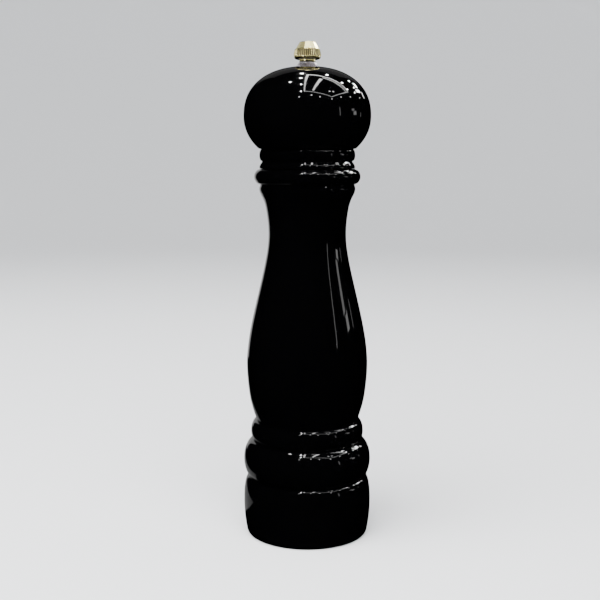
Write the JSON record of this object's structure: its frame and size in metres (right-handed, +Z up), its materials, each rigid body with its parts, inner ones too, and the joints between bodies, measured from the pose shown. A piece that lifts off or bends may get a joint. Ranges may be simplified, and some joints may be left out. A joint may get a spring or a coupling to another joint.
{
  "type": "pepper mill",
  "caption": "Turned black-lacquered pepper mill with a turning head, a square drive shaft, a conical burr grinder and a brass grind-adjusting knob.",
  "frame": {"origin": "centre of the flat foot that the mill stands on", "axes": "+Z up along the mill's turning axis; +X along the bar across the bottom"},
  "size_m": [0.0664, 0.0664, 0.2527],
  "materials": {
    "black_lacquered_wood": "deep black piano-gloss lacquer over turned beech",
    "polished_brass": "polished, pale gold",
    "zinc_plated_steel": "zinc plated, bright",
    "aluminium_bar": "drawn bar, satin",
    "burr_steel": "hardened, dark satin",
    "spring_steel": "drawn wire"
  },
  "bodies": {
    "mill_body": {"wood_body": "black_lacquered_wood", "bearing_plate": "zinc_plated_steel", "burr_stator": "burr_steel", "stator_screw_1": "zinc_plated_steel", "stator_screw_2": "zinc_plated_steel", "stator_screw_3": "zinc_plated_steel", "base_bar": "zinc_plated_steel", "base_bar_screw_1": "zinc_plated_steel", "base_bar_screw_2": "zinc_plated_steel"},
    "spindle_seat": {"thrust_washer": "zinc_plated_steel", "pressure_spring": "spring_steel"},
    "spindle": {"drive_shaft": "aluminium_bar", "burr_rotor": "burr_steel", "rotor_retainer": "zinc_plated_steel"},
    "head": {"wood_head": "black_lacquered_wood", "turn_plate": "zinc_plated_steel", "turn_plate_screw_1": "zinc_plated_steel", "turn_plate_screw_2": "zinc_plated_steel"},
    "knob_collar": {"knob_collar": "zinc_plated_steel"},
    "knob": {"knob": "polished_brass"}
  },
  "joints": [
    {"name": "head_turn", "type": "hinge", "parent": "mill_body", "child": "spindle_seat", "pos_m": [0, 0, 0.0242], "axis": [0, 0, 1], "continuous": true},
    {"name": "grind_adjust", "type": "slide", "parent": "spindle_seat", "child": "spindle", "axis": [0, 0, 1], "range_m": [-0.0012, 0], "deforming": ["pressure_spring"]},
    {"name": "head_lift", "type": "slide", "parent": "spindle_seat", "child": "head", "axis": [0, 0, 1], "range_m": [0, 0.09]},
    {"name": "knob_turn", "type": "hinge", "parent": "head", "child": "knob_collar", "pos_m": [0, 0, 0.2416], "axis": [0, 0, 1], "range_deg": [0, 540]},
    {"name": "knob_lift", "type": "slide", "parent": "knob_collar", "child": "knob", "axis": [0, 0, 1], "range_m": [0, 0.025]}
  ],
  "couplings": [
    {"joint": "knob_turn", "follows": "grind_adjust", "rad_per_m": -7854}
  ]
}
